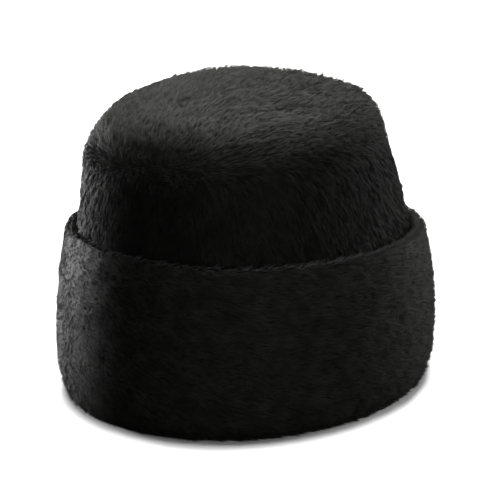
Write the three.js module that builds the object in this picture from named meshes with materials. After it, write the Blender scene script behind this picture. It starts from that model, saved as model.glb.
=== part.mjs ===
import * as THREE from "three";

// A fur hat with a turned-up cuff, in millimetres. +Z is up, the front of the hat faces -Y,
// and the origin is on the table under the middle of the hat.

// Opening for the head
const headLength = 199;
const headWidth = 168;
const headSquareness = 2.08; // exponent of the oval: 2 is an ellipse, more is squarer

// Crown side: a tapered band of fur cloth, backing and pile together
const crownWall = 9;
const crownHeight = 171; // table to the middle of the tip's flat, before its dome
const sideBend = 2.1; // 1 tapers straight, more keeps the lower part upright
const sideLean = 8; // degrees that the side leans in where its shoulder starts
const crownShiftX = -4.4; // how far the tip stands off the middle of the opening
const crownShiftY = -11.8;

// Tip: the oval panel that closes the crown
const tipLength = 175;
const tipWidth = 151;
const tipSquareness = 2.26;
const tipNarrowing = 0.1; // the tip is this share narrower at the front, and wider at the back
const tipWall = 9;
const tipRise = -4; // the back end of the tip stands this much above the front end
const tipDome = 8.5;
const frontShoulder = 40; // radius of the rolled edge at the front
const backShoulder = 10; // and at the back
const frontSeamTurn = 44; // degrees round the shoulder where the tip is sewn to the side
const backSeamTurn = 64;
const seamGap = 0.4;

// Cuff: the band's lower end, folded under the crown side and turned up round it. It follows the
// crown side, so its lean comes from there.
const cuffHeight = 97;
const cuffTilt = 13; // the cuff is this much higher at the front than at the back
const cuffWall = 8.2; // thickness where it leaves the fold
const frontRimWall = 5.4; // and at its free edge, where it hugs the crown at the front
const backRimWall = 7;
const cuffGap = 0.8; // between the cuff and the crown side inside it
const frontStandOff = 0.2; // how much further its free edge stands off the crown
const backStandOff = 1.8;
const cuffBelly = 1; // how much the middle swells out
const foldThickness = 10; // what lies under the crown side
const foldRollOut = 10.5; // how far the outer roll of the fold reaches in
const cornerRollOut = 3; // and how much further at the right front, where the fold is softest
const cornerAngle = -50; // degrees from +X
const foldRollUp = 28; // and how far up
const innerRoll = 1.5;
const seatGap = 0.3;

// Pile: staggered locks, as shallow relief on the outside
const pileRelief = 0.9;
const lockLength = 11; // on the sides
const tipLockLength = 34; // the tip's locks lie along its comb, which runs nearly straight back
const tipLockWidth = 19;
const tipComb = -12; // degrees that it is turned to the right of the hat's middle line

// Hollows and swells of the soft tip: where they lie, as shares of its half length and half width
// from its middle, how far they spread, as a share of its half width, and how deep they are, as a
// share of its dome.
const tipHollows = [
  { along: 0.42, across: 0.3, spread: 0.42, depth: 0.5 },
  { along: -0.25, across: 0.42, spread: 0.4, depth: 0.22 },
  { along: -0.1, across: -0.35, spread: 0.5, depth: -0.18 },
];

// Mesh
const stepsRound = 84;
const fullTurn = 2 * Math.PI;
const angles = Array.from({ length: stepsRound }, (_, i) => (fullTurn * i) / stepsRound);

const lerp = THREE.MathUtils.lerp;
const degrees = THREE.MathUtils.degToRad;

// One point of an oval about the middle, at an angle counted from +X.
function onOval(halfLength, halfWidth, squareness, angle) {
  const power = 2 / squareness;
  const across = Math.cos(angle);
  const along = Math.sin(angle);
  return {
    x: halfWidth * Math.sign(across) * Math.abs(across) ** power,
    y: halfLength * Math.sign(along) * Math.abs(along) ** power,
  };
}

// How far a lock of the pile stands out of the smooth side. Rows of locks are staggered, and
// a slow wave round the hat keeps them from being alike. edge is 0 at a seam and 1 in the open.
function pileAt(step, row, edge) {
  const stagger = (step + row) % 2 === 0 ? 1 : -1;
  const wave = Math.sin(step * 1.7 + row * 2.3) * Math.cos(step * 0.61 - row * 1.1);
  return pileRelief * edge * (0.45 * stagger + 0.55 * wave);
}

// A closed body from rings of points. Each ring joins the next one, and the last the first.
function bodyFromLoop(rings) {
  const corners = rings.flat();
  const faces = [];
  for (let r = 0; r < rings.length; r += 1) {
    const next = (r + 1) % rings.length;
    for (let i = 0; i < stepsRound; i += 1) {
      const j = (i + 1) % stepsRound;
      const a = r * stepsRound + i;
      const b = r * stepsRound + j;
      const c = next * stepsRound + j;
      const d = next * stepsRound + i;
      faces.push(a, b, c, a, c, d);
    }
  }
  return bodyFromFaces(corners, faces);
}

// A closed body from rings that start at a point above the middle and end at one below it.
function bodyFromCap(topPoint, rings, bottomPoint) {
  const corners = [topPoint, ...rings.flat(), bottomPoint];
  const faces = [];
  const bottom = corners.length - 1;
  for (let i = 0; i < stepsRound; i += 1) {
    const j = (i + 1) % stepsRound;
    faces.push(0, 1 + i, 1 + j);
    for (let r = 0; r + 1 < rings.length; r += 1) {
      const a = 1 + r * stepsRound + i;
      const b = 1 + r * stepsRound + j;
      const c = b + stepsRound;
      const d = a + stepsRound;
      faces.push(a, c, b, a, d, c);
    }
    const last = 1 + (rings.length - 1) * stepsRound;
    faces.push(last + i, bottom, last + j);
  }
  return bodyFromFaces(corners, faces);
}

function bodyFromFaces(corners, faces) {
  const geometry = new THREE.BufferGeometry();
  geometry.setFromPoints(corners);
  geometry.setIndex(faces);
  geometry.computeVertexNormals();
  return geometry;
}

function furMesh(name, geometry, colour) {
  const material = new THREE.MeshStandardMaterial({ color: colour, roughness: 0.95, metalness: 0 });
  const mesh = new THREE.Mesh(geometry, material);
  mesh.name = name;
  return mesh;
}

// The crown's skin, set in by a wall thickness. Every height and outline of the crown side and of
// the tip comes from these functions, so that the two meet along the seam at any size.

const sideFoot = foldThickness + seatGap;

function tipPlane(y) {
  return crownHeight + (tipRise * (y - crownShiftY)) / tipLength;
}

// A size that changes evenly from the front of the hat to the back.
function frontToBack(front, back, angle) {
  return lerp(front, back, (1 + Math.sin(angle)) / 2);
}

function seamTurnAt(angle) {
  return frontToBack(frontSeamTurn, backSeamTurn, angle);
}

// A point of the shoulder, turn degrees round its roll.
function onShoulder(angle, turn, inset, reliefOut) {
  const radius = frontToBack(frontShoulder, backShoulder, angle);
  const start = degrees(sideLean);
  const rolledIn = radius * (Math.cos(start) - Math.cos(degrees(turn)));
  const wallIn = inset * Math.cos(degrees(turn)) - reliefOut;
  const setIn = rolledIn + wallIn;
  const rim = onOval(tipLength / 2 - setIn, tipWidth / 2 - setIn, tipSquareness, angle);
  const x = rim.x * (1 + (tipNarrowing * rim.y * 2) / tipLength) + crownShiftX;
  const y = rim.y + crownShiftY;
  const rolledUp = radius * (Math.sin(degrees(turn)) - 1);
  return new THREE.Vector3(x, y, tipPlane(y) + rolledUp - inset * Math.sin(degrees(turn)));
}

// A point of the crown side: rise is 0 at its foot and 1 where the shoulder starts. A negative
// inset lies outside the skin.
function onSide(angle, rise, inset, reliefOut) {
  const out = crownWall - inset + reliefOut;
  const foot = onOval(headLength / 2 + out, headWidth / 2 + out, headSquareness, angle);
  const head = onShoulder(angle, sideLean, inset, reliefOut);
  const taper = rise ** sideBend;
  return new THREE.Vector3(
    lerp(foot.x, head.x, taper),
    lerp(foot.y, head.y, taper),
    lerp(sideFoot, head.z, rise),
  );
}

// A point at a height, a distance out from the crown side's skin.
function besideCrown(angle, height, out) {
  const top = onShoulder(angle, sideLean, 0, 0).z;
  const rise = THREE.MathUtils.clamp((height - sideFoot) / (top - sideFoot), 0, 1);
  return onSide(angle, rise, -out, 0).setZ(height);
}

// How far the tip sinks at a place. A swell sinks less than nothing.
function hollowAt(x, y) {
  const depths = tipHollows.map(({ along, across, spread, depth }) => {
    const fromX = x - crownShiftX - (across * tipWidth) / 2;
    const fromY = y - crownShiftY - (along * tipLength) / 2;
    const away = Math.hypot(fromX, fromY) / ((spread * tipWidth) / 2);
    return depth * tipDome * Math.exp(-(away ** 2));
  });
  return depths.reduce((sum, depth) => sum + depth, 0);
}

// How far a lock stands out of the tip.
function tipPileAt(x, y, edge) {
  const comb = degrees(tipComb);
  const along = x * Math.sin(comb) + y * Math.cos(comb);
  const across = x * Math.cos(comb) - y * Math.sin(comb);
  const lock = Math.sin((fullTurn * along) / tipLockLength) * Math.sin((fullTurn * across) / tipLockWidth);
  return pileRelief * edge * lock;
}

// A point of the tip's field: reach is 1 at the end of the shoulder and 0 in the middle.
function onTip(angle, reach, inset) {
  const edge = onShoulder(angle, 90, inset, 0);
  const x = lerp(crownShiftX, edge.x, reach);
  const y = lerp(crownShiftY, edge.y, reach);
  const domed = (tipDome - hollowAt(x, y)) * (1 - reach ** 2);
  return new THREE.Vector3(x, y, tipPlane(y) - inset + domed);
}

// Crown side
const sideRows = [0, 0.12, 0.24, 0.36, 0.47, 0.57, 0.66, 0.75, 0.83, 0.91, 1];
const innerRows = [1, 0.75, 0.5, 0.25, 0];

function cuffTop(angle) {
  return cuffHeight - (cuffTilt / 2) * Math.sin(angle);
}

// The pile is pressed flat where the cuff covers it.
function crownSideRings() {
  const outside = sideRows.map((rise, row) =>
    angles.map((angle, step) => {
      const { z } = onSide(angle, rise, 0, 0);
      const open = THREE.MathUtils.smoothstep(z, cuffTop(angle), cuffTop(angle) + lockLength);
      return onSide(angle, rise, 0, pileAt(step, row, open));
    }),
  );
  const shoulder = angles.map((angle, step) => {
    const turn = lerp(sideLean, seamTurnAt(angle), 0.5);
    return onShoulder(angle, turn, 0, pileAt(step, sideRows.length, 1));
  });
  const seam = [0, crownWall].map((inset) =>
    angles.map((angle) => onShoulder(angle, seamTurnAt(angle), inset, 0)),
  );
  const inside = innerRows.map((rise) => angles.map((angle) => onSide(angle, rise, crownWall, 0)));
  return [...outside, shoulder, ...seam, ...inside];
}

// Tip
const rollShares = [0, 0.5, 1];
const tipReaches = [0.88, 0.75, 0.61, 0.46, 0.3, 0.15];
const tipInnerReaches = [0.3, 0.65];

function raised(point) {
  return point.setZ(point.z + seamGap);
}

function crownTipBody() {
  const middle = (inset) => raised(onTip(0, 0, inset));
  const field = [...tipReaches].reverse().map((reach) =>
    angles.map((angle) => {
      const point = raised(onTip(angle, reach, 0));
      return point.setZ(point.z + tipPileAt(point.x, point.y, 1));
    }),
  );
  const rollRing = (share, inset) =>
    angles.map((angle) => raised(onShoulder(angle, lerp(seamTurnAt(angle), 90, share), inset, 0)));
  const roll = [...rollShares].reverse().map((share) => rollRing(share, 0));
  const under = rollShares.map((share) => rollRing(share, tipWall));
  const ceiling = [...tipInnerReaches].reverse().map((reach) =>
    angles.map((angle) => raised(onTip(angle, reach, tipWall))),
  );
  return bodyFromCap(middle(0), [...field, ...roll, ...under, ...ceiling], middle(tipWall));
}

// Cuff: its cross-section at an angle, as a distance out from the crown side's skin and a height,
// from the flat that stands on the table, out round the fold, up the outside, over the rim and
// down the inside. Under the crown side the distance is negative.
function cuffSection(angle) {
  const rimWall = frontToBack(frontRimWall, backRimWall, angle);
  const standOff = frontToBack(frontStandOff, backStandOff, angle);
  const rimRadius = rimWall / 2;
  const rimStart = cuffHeight - rimRadius;
  const innerFace = (share) => cuffGap + standOff * share;
  const nearCorner = Math.max(Math.cos(angle - degrees(cornerAngle)), 0) ** 4;
  const rollOut = foldRollOut + cornerRollOut * nearCorner;
  const quarterTurns = [0, 0.3, 0.55, 0.8, 1].map((share) => (share * Math.PI) / 2);
  const foldOutside = quarterTurns.map((turn) => ({
    out: cuffGap + cuffWall - rollOut * (1 - Math.sin(turn)),
    height: foldRollUp * (1 - Math.cos(turn)),
    pile: turn > 0 ? 0.7 : 0,
  }));
  const outside = [0.18, 0.34, 0.5, 0.66, 0.82, 1].map((share) => ({
    out: innerFace(share) + lerp(cuffWall, rimWall, share) + cuffBelly * Math.sin(Math.PI * share),
    height: lerp(foldRollUp, rimStart, share),
    pile: 1,
  }));
  const rim = [0.2, 0.4, 0.6, 0.8, 1].map((share) => ({
    out: innerFace(1) + rimRadius * (1 + Math.cos(Math.PI * share)),
    height: rimStart + rimRadius * Math.sin(Math.PI * share),
    pile: share < 0.7 ? 0.8 : 0,
  }));
  const inside = [0.65, 0.3, 0].map((share) => ({
    out: innerFace(share),
    height: lerp(foldThickness, rimStart, share),
    pile: 0,
  }));
  const foldInside = [0, 0.15, 0.6, 1].map((share) => ({
    out: innerRoll * (1 - Math.cos((share * Math.PI) / 2)) - crownWall,
    height: share === 0 ? foldThickness : innerRoll * (1 - Math.sin((share * Math.PI) / 2)),
    pile: 0,
  }));
  return [...foldOutside, ...outside, ...rim, ...inside, ...foldInside];
}

function cuffRings() {
  const sections = angles.map(cuffSection);
  return sections[0].map((_, row) =>
    angles.map((angle, step) => {
      const { out, height, pile } = sections[step][row];
      const rise = Math.max(height - foldThickness, 0) / (cuffHeight - foldThickness);
      const tilted = height - (cuffTilt / 2) * rise * Math.sin(angle);
      return besideCrown(angle, tilted, out + pileAt(step, row, pile));
    }),
  );
}

const hat = new THREE.Group();
hat.add(
  furMesh("crown_tip", crownTipBody(), 0x2b2b2c),
  furMesh("crown_side", bodyFromLoop(crownSideRings()), 0x151515),
  furMesh("cuff", bodyFromLoop(cuffRings()), 0x1b1b1b),
);

export default hat;
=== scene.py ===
import math

import bpy
import numpy as np
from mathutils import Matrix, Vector


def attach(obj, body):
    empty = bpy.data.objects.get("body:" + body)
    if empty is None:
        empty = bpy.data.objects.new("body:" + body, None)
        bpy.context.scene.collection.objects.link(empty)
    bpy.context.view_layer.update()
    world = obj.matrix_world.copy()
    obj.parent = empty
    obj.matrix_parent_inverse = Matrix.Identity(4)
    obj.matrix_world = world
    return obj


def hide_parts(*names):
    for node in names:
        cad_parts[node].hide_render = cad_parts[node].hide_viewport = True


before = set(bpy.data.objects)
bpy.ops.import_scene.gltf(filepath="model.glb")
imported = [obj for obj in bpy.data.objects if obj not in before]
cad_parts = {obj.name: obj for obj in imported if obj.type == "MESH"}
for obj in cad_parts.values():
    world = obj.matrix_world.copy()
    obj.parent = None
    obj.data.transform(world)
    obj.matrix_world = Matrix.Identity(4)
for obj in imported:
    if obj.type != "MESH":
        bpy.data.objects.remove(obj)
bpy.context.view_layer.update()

scene = bpy.context.scene

# The camera stands before the hat's left front quarter, a little above it, with a long lens. Its
# angles and its distance are those that fit the photograph's outline.
picture_side = 480
sensor_width = 36
camera_azimuth = math.radians(41)
camera_elevation = math.radians(18.2)
camera_distance = 1.65
hat_middle = Vector((0, 0, 0.09))
hat_middle_pixel = (247.2, 230.4)
pixels_per_metre = 1722

level_back = Vector((math.sin(camera_azimuth), -math.cos(camera_azimuth), 0))
camera_right = Vector((math.cos(camera_azimuth), math.sin(camera_azimuth), 0))
camera_back = level_back * math.cos(camera_elevation) + Vector((0, 0, math.sin(camera_elevation)))
camera_up = camera_back.cross(camera_right)
pixels_right = picture_side / 2 - hat_middle_pixel[0]
pixels_up = hat_middle_pixel[1] - picture_side / 2
camera_aim = hat_middle + (camera_right * pixels_right + camera_up * pixels_up) / pixels_per_metre

camera_data = bpy.data.cameras.new("camera")
camera_data.sensor_width = sensor_width
camera_data.lens = sensor_width * pixels_per_metre * camera_distance / picture_side
camera = bpy.data.objects.new("camera", camera_data)
camera.location = camera_aim + camera_back * camera_distance
camera.rotation_euler = (-camera_back).to_track_quat("-Z", "Y").to_euler()
scene.collection.objects.link(camera)
scene.camera = camera

# The tip's cloth: the oval panel that closes the crown. Fur cloth is a knitted backing with pile on
# its outer side, and this is the backing, which shows only inside the hat. It is sewn to the side.
pile_depth = 0.0025
merging_distance = 0.00001
nearly_nothing = 1e-12
least_furred = 1e-9
dark_yarn = (0.006, 0.006, 0.006, 1)
light_yarn = (0.018, 0.017, 0.016, 1)
tip_faces_up = 0.5


def add_node(tree, kind, inputs=None, **settings):
    node = tree.nodes.new(kind)
    for key, value in settings.items():
        setattr(node, key, value)
    for key, value in (inputs or {}).items():
        if isinstance(value, bpy.types.NodeSocket):
            tree.links.new(value, node.inputs[key])
        else:
            node.inputs[key].default_value = value
    return node


def new_material(name):
    material = bpy.data.materials.new(name)
    material.use_nodes = True
    tree = material.node_tree
    tree.nodes.clear()
    output = add_node(tree, "ShaderNodeOutputMaterial")
    shader = add_node(tree, "ShaderNodeBsdfPrincipled")
    tree.links.new(shader.outputs["BSDF"], output.inputs["Surface"])
    return material, tree, shader


def backing_material():
    material, tree, shader = new_material("knitted backing")
    place = add_node(tree, "ShaderNodeTexCoord").outputs["Object"]
    ribs = add_node(
        tree,
        "ShaderNodeTexWave",
        {"Vector": place, "Scale": 260, "Distortion": 1.2, "Detail": 2},
        bands_direction="Z",
    )
    fluff = add_node(tree, "ShaderNodeTexNoise", {"Vector": place, "Scale": 420, "Detail": 3})
    height = add_node(
        tree,
        "ShaderNodeMath",
        {0: ribs.outputs["Fac"], 1: fluff.outputs["Fac"]},
        operation="ADD",
    )
    bump = add_node(
        tree,
        "ShaderNodeBump",
        {"Height": height.outputs[0], "Strength": 0.5, "Distance": 0.0004},
    )
    tint = add_node(
        tree,
        "ShaderNodeMix",
        {"Factor": fluff.outputs["Fac"], "A": dark_yarn, "B": light_yarn},
        data_type="RGBA",
    )
    tree.links.new(tint.outputs["Result"], shader.inputs["Base Color"])
    tree.links.new(bump.outputs["Normal"], shader.inputs["Normal"])
    shader.inputs["Roughness"].default_value = 0.9
    shader.inputs["Specular IOR Level"].default_value = 0.2
    return material


knitted_backing = backing_material()


# A copy of a solid of the frame, with the corners that its faces share merged into one.
def merged_copy(node, name):
    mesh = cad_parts[node].data.copy()
    mesh.name = name
    piece = bpy.data.objects.new(name, mesh)
    scene.collection.objects.link(piece)
    merge = piece.modifiers.new("merge", "WELD")
    merge.merge_threshold = merging_distance
    evaluated = piece.evaluated_get(bpy.context.evaluated_depsgraph_get())
    merged = bpy.data.meshes.new_from_object(evaluated)
    piece.modifiers.clear()
    piece.data = merged
    merged.name = name
    return piece


def corners_and_faces(mesh):
    corners = np.empty(len(mesh.vertices) * 3)
    mesh.vertices.foreach_get("co", corners)
    faces = np.empty(len(mesh.loops), dtype=int)
    mesh.loops.foreach_get("vertex_index", faces)
    return corners.reshape(-1, 3), faces.reshape(-1, 3)


def store_numbers(mesh, name, domain, values):
    mesh.attributes.new(name, "FLOAT", domain).data.foreach_set("value", values)


def store_directions(mesh, name, values):
    mesh.attributes.new(name, "FLOAT_VECTOR", "POINT").data.foreach_set("vector", values.ravel())


# The backing of a solid: its furred faces are drawn in by the depth of the pile. Each face says
# whether pile grows on it, and each corner which way is outwards there.
def backing_of(node, name, furred_where, drawn_in_where):
    piece = merged_copy(node, name)
    mesh = piece.data
    corners, faces = corners_and_faces(mesh)
    edge_a = corners[faces[:, 1]] - corners[faces[:, 0]]
    edge_b = corners[faces[:, 2]] - corners[faces[:, 0]]
    normals = np.cross(edge_a, edge_b)
    sizes = np.linalg.norm(normals, axis=1, keepdims=True)
    centres = corners[faces].mean(axis=1)
    furred = furred_where(centres, normals / np.maximum(sizes, nearly_nothing))

    outwards = np.zeros_like(corners)
    for k in range(3):
        np.add.at(outwards, faces[:, k], normals * furred[:, None])
    length = np.linalg.norm(outwards, axis=1, keepdims=True)
    outwards = outwards / np.maximum(length, nearly_nothing)
    on_pile = length[:, 0] > least_furred
    drawn_in = pile_depth * on_pile * drawn_in_where(corners)
    corners = corners - outwards * drawn_in[:, None]
    mesh.vertices.foreach_set("co", corners.ravel())
    store_numbers(mesh, "pile", "FACE", furred.astype(float))
    store_directions(mesh, "outwards", outwards)
    mesh.update()
    mesh.shade_smooth()
    mesh.materials.clear()
    mesh.materials.append(knitted_backing)
    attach(piece, "root")
    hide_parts(node)
    return piece, corners, outwards


def furred_tip(places, normals):
    return normals[:, 2] > tip_faces_up


def everywhere(places):
    return np.ones(len(places))


tip_backing, tip_corners, tip_outwards = backing_of(
    "crown_tip",
    "crown_tip_backing",
    furred_tip,
    everywhere,
)

# The crown's side: one band of the same fur cloth, sewn to the tip along the shoulder. Its outer
# face is furred, and its lower end goes down behind the turned-up cuff.
side_faces_out = 0.3


def outward_part(places, normals):
    distance = np.linalg.norm(places[:, :2], axis=1)
    return (normals[:, :2] * places[:, :2]).sum(axis=1) / distance


def furred_side(places, normals):
    return outward_part(places, normals) > side_faces_out


side_backing, side_corners, side_outwards = backing_of(
    "crown_side",
    "crown_side_backing",
    furred_side,
    everywhere,
)

# The tip's pile: short dense hair, woven into the backing. It is combed from the front of the hat
# to the back in soft swirls, stands up along the back seam and covers the seam with no step.
pile_sizes = {
    "Hairs per square metre": 3.3e6,
    "Length": 0.007,
    "Width": 0.0003,
    "Lift": math.radians(20),
    "Untidiness": 0.14,
    "Lock size": 0.014,
    "Lock strength": 0.5,
    "Tuft size": 0.003,
    "Tuft strength": 1.0,
    "Patchiness": 1.0,
}
tip_sizes = {"Length": 0.0058, "Tuft size": 0.0025, "Tuft strength": 1.2}
tip_seed = 11
hair_root_colour = (0.009, 0.0092, 0.0075, 1)
hair_end_colour = (0.040, 0.0405, 0.0375, 1)
cloth_in_shading = 0.8
leaf_width = 0.1
leaf_bow = 0.5
twist_range = (-1.4, 1.4)
length_range = (0.65, 1.1)
width_range = (0.7, 1.2)
tone_range = (0.8, 1.2)
lean_range = ((-1, -1, -1), (1, 1, 1))
salts = {"lean": 3.0, "twist": 5.0, "length": 7.0, "width": 9.0, "tone": 11.0}
noise_middle = 0.5
lowest_hair = 0.0003
seam_reach = 0.012
most_standing = 0.75
standing_distance = 0.03
swirl_middle = 0.1
swirl_size = 0.3
swirl_across = 38
swirl_along = 17


def hair_material():
    material, tree, shader = new_material("black pile")
    along = add_node(tree, "ShaderNodeAttribute", attribute_name="along").outputs["Fac"]
    # the tone attribute is the hair's own random tone times the painted shade of the side and the rim
    tone = add_node(tree, "ShaderNodeAttribute", attribute_name="tone").outputs["Fac"]
    colour = add_node(
        tree,
        "ShaderNodeMix",
        {"Factor": along, "A": hair_root_colour, "B": hair_end_colour},
        data_type="RGBA",
    )
    toned = add_node(
        tree,
        "ShaderNodeVectorMath",
        {0: colour.outputs["Result"], "Scale": tone},
        operation="SCALE",
    )
    tree.links.new(toned.outputs["Vector"], shader.inputs["Base Color"])

    # dense pile is lit much as the cloth under it is, so its shading leans towards the cloth's own
    own = add_node(tree, "ShaderNodeNewGeometry").outputs["Normal"]
    outwards = add_node(tree, "ShaderNodeAttribute", attribute_name="outwards").outputs["Vector"]
    facing = add_node(
        tree,
        "ShaderNodeMix",
        {"Factor": cloth_in_shading, "A": own, "B": outwards},
        data_type="VECTOR",
    )
    tree.links.new(facing.outputs["Result"], shader.inputs["Normal"])
    shader.inputs["Roughness"].default_value = 0.6
    shader.inputs["Specular IOR Level"].default_value = 0.12
    return material


black_pile = hair_material()


def math_node(tree, operation, first, second=0.0):
    return add_node(tree, "ShaderNodeMath", {0: first, 1: second}, operation=operation).outputs[0]


def vector_node(tree, operation, first, second=(0, 0, 0)):
    key = "Scale" if operation == "SCALE" else 1
    made = add_node(tree, "ShaderNodeVectorMath", {0: first, key: second}, operation=operation)
    return made.outputs["Vector"]


def position_parts(tree):
    position = add_node(tree, "GeometryNodeInputPosition").outputs[0]
    return add_node(tree, "ShaderNodeSeparateXYZ", {0: position}).outputs


def joined_parts(tree, x, y, z):
    return add_node(tree, "ShaderNodeCombineXYZ", {"X": x, "Y": y, "Z": z}).outputs[0]


def placed(tree, geometry, position):
    inputs = {"Geometry": geometry, "Position": position}
    return add_node(tree, "GeometryNodeSetPosition", inputs).outputs[0]


def read_attribute(tree, name, kind):
    made = add_node(tree, "GeometryNodeInputNamedAttribute", {"Name": name}, data_type=kind)
    return made.outputs["Attribute"]


def store_attribute(tree, geometry, name, value, kind, domain):
    made = add_node(
        tree,
        "GeometryNodeStoreNamedAttribute",
        {"Geometry": geometry, "Name": name, "Value": value},
        data_type=kind,
        domain=domain,
    )
    return made.outputs[0]


def chance(tree, given, between, salt, kind="FLOAT"):
    least, most = between
    seed = math_node(tree, "ADD", given["Seed"], salts[salt])
    made = add_node(
        tree,
        "FunctionNodeRandomValue",
        {"Min": least, "Max": most, "Seed": seed},
        data_type=kind,
    )
    return made.outputs["Value"]


def name_sockets(sockets):
    sockets.new_socket("Cloth", in_out="INPUT", socket_type="NodeSocketGeometry")
    for name in pile_sizes:
        sockets.new_socket(name, in_out="INPUT", socket_type="NodeSocketFloat")
    sockets.new_socket("Seed", in_out="INPUT", socket_type="NodeSocketInt")
    sockets.new_socket("Material", in_out="INPUT", socket_type="NodeSocketMaterial")
    sockets.new_socket("Pile", in_out="OUTPUT", socket_type="NodeSocketGeometry")


# One hair with its root at the origin: a narrow leaf that rises along Z and bows out along Y.
def one_hair(tree):
    sheet = add_node(
        tree,
        "GeometryNodeMeshGrid",
        {"Size X": 1.0, "Size Y": 1.0, "Vertices X": 2, "Vertices Y": 2},
    )
    place = position_parts(tree)
    along = math_node(tree, "MULTIPLY", math_node(tree, "ADD", place["X"], place["Y"]), 0.5)
    along = math_node(tree, "ADD", along, 0.5)
    aside = math_node(tree, "SUBTRACT", place["X"], place["Y"])
    aside = math_node(tree, "MULTIPLY", aside, leaf_width / 2)
    bow = math_node(tree, "MULTIPLY", along, math_node(tree, "SUBTRACT", 1.0, along))
    bow = math_node(tree, "MULTIPLY", bow, leaf_bow)
    marked = store_attribute(tree, sheet.outputs["Mesh"], "along", along, "FLOAT", "POINT")
    mapped = store_attribute(tree, marked, "OFBake", sheet.outputs["UV Map"], "FLOAT2", "CORNER")
    shaped = placed(tree, mapped, joined_parts(tree, aside, bow, along))
    hair = add_node(tree, "GeometryNodeTriangulate", {0: shaped}, quad_method="SHORTEST_DIAGONAL")
    return hair.outputs[0]


# How neighbouring hairs lean together and how tall they stand, in locks or in finer tufts.
def clump(tree, given, kind):
    where = add_node(tree, "GeometryNodeInputPosition").outputs[0]
    scale = math_node(tree, "DIVIDE", 1.0, given[f"{kind} size"])
    noise = add_node(tree, "ShaderNodeTexNoise", {"Vector": where, "Scale": scale, "Detail": 0.5})
    wave = vector_node(tree, "SUBTRACT", noise.outputs["Color"], (noise_middle,) * 3)
    lean = vector_node(tree, "SCALE", wave, given[f"{kind} strength"])
    height = math_node(tree, "SUBTRACT", noise.outputs["Fac"], noise_middle)
    return lean, height


# Which way a hair points: along the comb, lifted, leaning with its clumps and a little by itself.
def hair_rotation(tree, given, leans):
    outwards = read_attribute(tree, "outwards", "FLOAT_VECTOR")
    comb = read_attribute(tree, "comb", "FLOAT_VECTOR")
    lifted = vector_node(tree, "SCALE", outwards, math_node(tree, "SINE", given["Lift"]))
    lying = vector_node(tree, "SCALE", comb, math_node(tree, "COSINE", given["Lift"]))
    direction = vector_node(tree, "ADD", lifted, lying)
    for lean in leans:
        direction = vector_node(tree, "ADD", direction, lean)
    own_lean = chance(tree, given, lean_range, "lean", "FLOAT_VECTOR")
    own_lean = vector_node(tree, "SCALE", own_lean, given["Untidiness"])
    direction = vector_node(tree, "NORMALIZE", vector_node(tree, "ADD", direction, own_lean))
    turn = add_node(
        tree,
        "FunctionNodeAxesToRotation",
        {"Primary Axis": direction, "Secondary Axis": outwards},
        primary_axis="Z",
        secondary_axis="Y",
    )
    twist = add_node(
        tree,
        "FunctionNodeAxisAngleToRotation",
        {"Axis": (0, 0, 1), "Angle": chance(tree, given, twist_range, "twist")},
    )
    turned = add_node(
        tree,
        "FunctionNodeRotateRotation",
        {"Rotation": turn.outputs[0], "Rotate By": twist.outputs[0]},
        rotation_space="LOCAL",
    )
    return turned.outputs[0]


def hair_size(tree, given, tuft_height):
    tufted = math_node(tree, "MULTIPLY", tuft_height, given["Tuft strength"])
    tufted = math_node(tree, "ADD", 1.0, tufted)
    length = math_node(tree, "MULTIPLY", given["Length"], tufted)
    length = math_node(tree, "MULTIPLY", length, chance(tree, given, length_range, "length"))
    width = math_node(tree, "MULTIPLY", given["Width"], chance(tree, given, width_range, "width"))
    across = math_node(tree, "DIVIDE", width, leaf_width)
    return joined_parts(tree, across, length, length)


# A hair's tone: its own, differing at random and by lock, times the painted shade of its stretch.
def hair_tone_and_painted_shade(tree, given, lock_height):
    patch = math_node(tree, "MULTIPLY", lock_height, given["Patchiness"])
    tone = math_node(tree, "ADD", patch, chance(tree, given, tone_range, "tone"))
    return math_node(tree, "MULTIPLY", tone, read_attribute(tree, "painted_shade", "FLOAT"))


# No hair reaches below the table that the hat stands on.
def kept_above_table(tree, geometry):
    end = position_parts(tree)
    raised = math_node(tree, "MAXIMUM", end["Z"], lowest_hair)
    return placed(tree, geometry, joined_parts(tree, end["X"], end["Y"], raised))


def pile_tree():
    tree = bpy.data.node_groups.new("pile", "GeometryNodeTree")
    name_sockets(tree.interface)
    given = add_node(tree, "NodeGroupInput").outputs
    share = read_attribute(tree, "share", "FLOAT")
    furred = read_attribute(tree, "pile", "FLOAT")
    density = math_node(tree, "MULTIPLY", given["Hairs per square metre"], share)
    density = math_node(tree, "MULTIPLY", density, furred)
    roots = add_node(
        tree,
        "GeometryNodeDistributePointsOnFaces",
        {"Mesh": given["Cloth"], "Density": density, "Seed": given["Seed"]},
    )
    lock_lean, lock_height = clump(tree, given, "Lock")
    tuft_lean, tuft_height = clump(tree, given, "Tuft")
    hairs = add_node(
        tree,
        "GeometryNodeInstanceOnPoints",
        {
            "Points": roots.outputs["Points"],
            "Instance": one_hair(tree),
            "Rotation": hair_rotation(tree, given, (lock_lean, tuft_lean)),
            "Scale": hair_size(tree, given, tuft_height),
        },
    )
    tone = hair_tone_and_painted_shade(tree, given, lock_height)
    toned = store_attribute(tree, hairs.outputs[0], "tone", tone, "FLOAT", "INSTANCE")
    real = add_node(tree, "GeometryNodeRealizeInstances", {0: toned})
    laid = kept_above_table(tree, real.outputs[0])
    smooth = add_node(tree, "GeometryNodeSetShadeSmooth", {0: laid})
    finished = add_node(
        tree,
        "GeometryNodeSetMaterial",
        {"Geometry": smooth.outputs[0], "Material": given["Material"]},
    )
    add_node(tree, "NodeGroupOutput", {0: finished.outputs[0]})
    return tree


pile_nodes = pile_tree()


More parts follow.
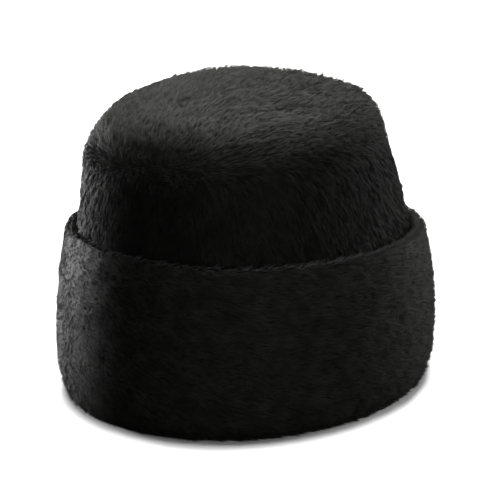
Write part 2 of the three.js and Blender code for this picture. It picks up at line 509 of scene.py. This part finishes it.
# Each hair gets its own cell of the map that colours are baked to.
def spread_bake_map(pile):
    corners_per_hair = 6
    margin = 0.1
    hair_count = len(pile.loops) // corners_per_hair
    cells = math.ceil(math.sqrt(hair_count))
    bake_map = pile.uv_layers["OFBake"]
    spots = np.empty(len(pile.loops) * 2)
    bake_map.uv.foreach_get("vector", spots)
    spots = spots.reshape(hair_count, corners_per_hair, 2)
    number = np.arange(hair_count)
    cell = np.stack([number % cells, number // cells], axis=1)[:, None, :]
    spots = (cell + margin + (1 - 2 * margin) * spots) / cells
    bake_map.uv.foreach_set("vector", spots.ravel())


# Pile on one stretch of a cloth. For each corner of the cloth, facing and comb are directions, share
# says whether the stretch lies there, and painted_shade how far painted shade darkens the pile's
# colour.
def grow_pile(name, cloth, facing, comb, share, painted_shade, seed, sizes):
    mesh = cloth.data.copy()
    mesh.attributes["outwards"].data.foreach_set("vector", facing.ravel())
    store_directions(mesh, "comb", comb)
    store_numbers(mesh, "share", "POINT", share)
    store_numbers(mesh, "painted_shade", "POINT", painted_shade)
    piece = bpy.data.objects.new(name, mesh)
    scene.collection.objects.link(piece)
    modifier = piece.modifiers.new("pile", "NODES")
    modifier.node_group = pile_nodes
    values = {**pile_sizes, **sizes, "Seed": seed, "Material": black_pile}
    for socket in pile_nodes.interface.items_tree:
        if socket.name in values:
            modifier[socket.identifier] = values[socket.name]
    depsgraph = bpy.context.evaluated_depsgraph_get()
    grown = piece.evaluated_get(depsgraph)
    pile = bpy.data.meshes.new_from_object(grown, preserve_all_data_layers=True, depsgraph=depsgraph)
    piece.modifiers.clear()
    piece.data = pile
    pile.name = name
    for attribute in ("comb", "share", "painted_shade", "pile"):
        if attribute in pile.attributes:
            pile.attributes.remove(pile.attributes[attribute])
    spread_bake_map(pile)
    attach(piece, "root")


def along_surface(direction, outwards):
    lying = direction - outwards * (direction * outwards).sum(axis=1, keepdims=True)
    return lying / np.maximum(np.linalg.norm(lying, axis=1, keepdims=True), 1)


def nearness(distance, reach):
    return np.exp(-((distance / reach) ** 2))


# Directions evened out over a seam, so that the pile covers it with no step.
def evened(places, outwards, reach):
    furred = np.linalg.norm(outwards, axis=1) > 0.5
    apart = np.linalg.norm(places[:, None] - places[None, furred], axis=2)
    mean = nearness(apart, reach) @ outwards[furred]
    mean = mean / np.maximum(np.linalg.norm(mean, axis=1, keepdims=True), nearly_nothing)
    return mean * furred[:, None]


crown_corners = np.concatenate([tip_corners, side_corners])
crown_outwards = np.concatenate([tip_outwards, side_outwards])
crown_facing = evened(crown_corners, crown_outwards, seam_reach)
tip_facing = crown_facing[: len(tip_corners)]
side_facing = crown_facing[len(tip_corners) :]
tip_to_side = np.linalg.norm(tip_corners[:, None] - side_corners[None], axis=2)
towards_back = np.clip(tip_corners[:, 1] / standing_distance, 0, 1)
standing = most_standing * nearness(tip_to_side.min(axis=1), seam_reach) * towards_back
swirl_wave = np.sin(tip_corners[:, 0] * swirl_across + tip_corners[:, 1] * swirl_along)
swirl = swirl_middle + swirl_size * swirl_wave
tip_comb = np.stack([swirl, np.ones(len(swirl)), np.zeros(len(swirl))], axis=1)
grow_pile(
    "crown_tip_pile",
    tip_backing,
    tip_facing,
    along_surface(tip_comb, tip_facing) * (1 - standing[:, None]),
    everywhere(tip_corners),
    everywhere(tip_corners),
    tip_seed,
    tip_sizes,
)

# The side's pile: the same hair. It lies backwards with the tip's along the seam, and turns to hang
# down and a little to one side. The cuff covers its lower half, where it is pressed flat and left out.
down = np.array([[0.0, 0.0, -1.0]])
backwards = np.array([[0.0, 1.0, 0.0]])
side_lean = 0.2
turning_reach = 0.018
side_painted_darkest = 0.42
painted_shade_reach = 0.014
side_pile_start = 0.078
side_pile_fade = 0.006
halves_overlap = 2
side_sizes = {"Lock strength": 0.3, "Tuft strength": 0.7}
front_seed = 21
back_seed = 22


def round_the_hat(places):
    turn = np.arctan2(places[:, 1], places[:, 0])
    return turn, np.stack([-np.sin(turn), np.cos(turn), np.zeros(len(turn))], axis=1)


side_turn, side_round = round_the_hat(side_corners)
side_from_seam = tip_to_side.min(axis=0)
near_seam = nearness(side_from_seam, turning_reach)[:, None]
hanging = down + side_lean * side_round
side_comb = along_surface(hanging * (1 - near_seam) + backwards * near_seam, side_facing)
# painted shade: the side's pile is coloured darker the further it lies below the seam
side_painted_shade = side_painted_darkest + (1 - side_painted_darkest) * nearness(side_from_seam, painted_shade_reach)
side_shown = np.clip((side_corners[:, 2] - side_pile_start) / side_pile_fade, 0, 1)
front_share = np.clip(0.5 - halves_overlap * np.sin(side_turn), 0, 1)
halves = (("front", front_share, front_seed), ("back", 1 - front_share, back_seed))
for half, share, seed in halves:
    grow_pile(
        f"crown_side_pile_{half}",
        side_backing,
        side_facing,
        side_comb,
        side_shown * share,
        side_painted_shade,
        seed,
        side_sizes,
    )

# The cuff: the band's lower end, folded under the crown and turned up round it, furred side out.
# Its fold is bare and stays in place where the hat stands on it.
cuff_faces_out = 0.05
bare_fold_height = 0.001
drawn_in_height = 0.004
rim_height = 0.07
rim_faces_up = 0.1


def furred_cuff(places, normals):
    outer = (outward_part(places, normals) > cuff_faces_out) & (places[:, 2] > bare_fold_height)
    rim = (places[:, 2] > rim_height) & (normals[:, 2] > rim_faces_up)
    return outer | rim


def drawn_in_cuff(places):
    return np.clip(places[:, 2] / drawn_in_height, 0, 1)


cuff_backing, cuff_corners, cuff_outwards = backing_of(
    "cuff",
    "cuff_backing",
    furred_cuff,
    drawn_in_cuff,
)

# The cuff's pile: the same hair, brushed round the hat and slightly down, and raised more than on
# the crown. Its colour has painted shade on top of the rim. Its three stretches meet with a soft
# overlap.
cuff_brushed_down = 0.1
rim_painted_shade_strength = 0.8
rim_painted_shade_from = 0.3
rim_painted_shade_over = 0.4
stretches = 3
overlap = 0.15
cuff_seed = 31
cuff_sizes = {"Lift": math.radians(28), "Lock size": 0.009, "Patchiness": 1.2, "Tuft strength": 0.7}

cuff_turn, cuff_round = round_the_hat(cuff_corners)
cuff_comb = along_surface(cuff_round + cuff_brushed_down * down, cuff_outwards)
# painted shade on the rim: pile that faces up is coloured darker
painted_shade_on_rim = np.clip((cuff_outwards[:, 2] - rim_painted_shade_from) / rim_painted_shade_over, 0, 1)
cuff_painted_shade = 1 - rim_painted_shade_strength * painted_shade_on_rim
for number in range(stretches):
    middle = 2 * math.pi * number / stretches
    away = np.abs((cuff_turn - middle + math.pi) % (2 * math.pi) - math.pi)
    share = np.clip((math.pi / stretches - away) / overlap + 0.5, 0, 1)
    grow_pile(
        f"cuff_pile_{number + 1}",
        cuff_backing,
        cuff_outwards,
        cuff_comb,
        share,
        cuff_painted_shade,
        cuff_seed + number,
        cuff_sizes,
    )

# The floor: plain pale paper, which sends hardly any light up to the hat. It glows for the camera
# alone, and less so near the hat, where the hat's soft shadow shows.
floor_half = 4.0
shadow_start = 0.16
shadow_end = 0.4
floor_paleness = {"To Min": 0.03, "To Max": 0.95}
floor_glow = {"To Min": 0.03, "To Max": 1.0}

floor_corners = [
    (-floor_half, -floor_half, 0),
    (floor_half, -floor_half, 0),
    (floor_half, floor_half, 0),
    (-floor_half, floor_half, 0),
]
floor_mesh = bpy.data.meshes.new("floor")
floor_mesh.from_pydata(floor_corners, [], [(0, 1, 2, 3)])
floor = bpy.data.objects.new("floor", floor_mesh)
scene.collection.objects.link(floor)
paper, paper_tree, paper_shader = new_material("white paper")
seen_floor = add_node(paper_tree, "ShaderNodeLightPath").outputs["Is Camera Ray"]
paleness = add_node(paper_tree, "ShaderNodeMapRange", {"Value": seen_floor, **floor_paleness})
paper_tree.links.new(paleness.outputs["Result"], paper_shader.inputs["Base Color"])
floor_place = add_node(paper_tree, "ShaderNodeTexCoord").outputs["Object"]
from_hat = add_node(paper_tree, "ShaderNodeVectorMath", {0: floor_place}, operation="LENGTH")
far = add_node(
    paper_tree,
    "ShaderNodeMapRange",
    {
        "Value": from_hat.outputs["Value"],
        "From Min": shadow_start,
        "From Max": shadow_end,
        **floor_glow,
    },
)
glow = math_node(paper_tree, "MULTIPLY", seen_floor, far.outputs["Result"])
paper_tree.links.new(glow, paper_shader.inputs["Emission Strength"])
paper_shader.inputs["Emission Color"].default_value = (1, 1, 1, 1)
paper_shader.inputs["Roughness"].default_value = 0.8
floor_mesh.materials.append(paper)

# The lights: one for the floor alone, a large soft one over and behind the hat, and low soft ones at
# its sides and its front. Their places are as the camera sees them, and they face the hat's middle.
lights = {}
for name, right, behind, height, width, tall, power in (
    ("floor light", -0.12, 0.0, 1.8, 1.3, 1.3, 45),
    ("top light", 0.05, 0.32, 1.3, 0.9, 0.9, 38),
    ("left light", -1.15, 1.1, 0.0, 0.45, 0.5, 80),
    ("front light", 0.4, -1.2, 0.4, 0.7, 0.7, 2.4),
    ("right light", 1.35, 0.45, 0.25, 0.5, 0.8, 12),
):
    data = bpy.data.lights.new(name, "AREA")
    data.shape = "RECTANGLE"
    data.size = width
    data.size_y = tall
    data.energy = power
    light = bpy.data.objects.new(name, data)
    light.location = camera_right * right - level_back * behind + Vector((0, 0, height))
    light.rotation_euler = (hat_middle - light.location).to_track_quat("-Z", "Y").to_euler()
    scene.collection.objects.link(light)
    lights[name] = light


def collection_of(name, members):
    collection = bpy.data.collections.new(name)
    for member in members:
        collection.objects.link(member)
    return collection


lit_by_it = collection_of("lit by the floor light", (floor,))
lights["floor light"].light_linking.receiver_collection = lit_by_it

# this light comes through the pile as it does through real hair, and only what is under it blocks it
backings_and_floor = (tip_backing, side_backing, cuff_backing, floor)
shading_it = collection_of("shading the left light", backings_and_floor)
lights["left light"].light_linking.blocker_collection = shading_it

# The room: white to the camera, and dim to the hat, so that it fills the shadows a little.
room_strength = {"To Min": 0.12, "To Max": 1.0}
world = bpy.data.worlds.new("white room")
world.use_nodes = True
world_tree = world.node_tree
world_tree.nodes.clear()
seen_room = add_node(world_tree, "ShaderNodeLightPath").outputs["Is Camera Ray"]
brightness = add_node(world_tree, "ShaderNodeMapRange", {"Value": seen_room, **room_strength})
room = add_node(world_tree, "ShaderNodeBackground", {"Strength": brightness.outputs["Result"]})
room.inputs["Color"].default_value = (1, 1, 1, 1)
add_node(world_tree, "ShaderNodeOutputWorld", {"Surface": room.outputs[0]})
scene.world = world
scene.view_settings.view_transform = "Standard"
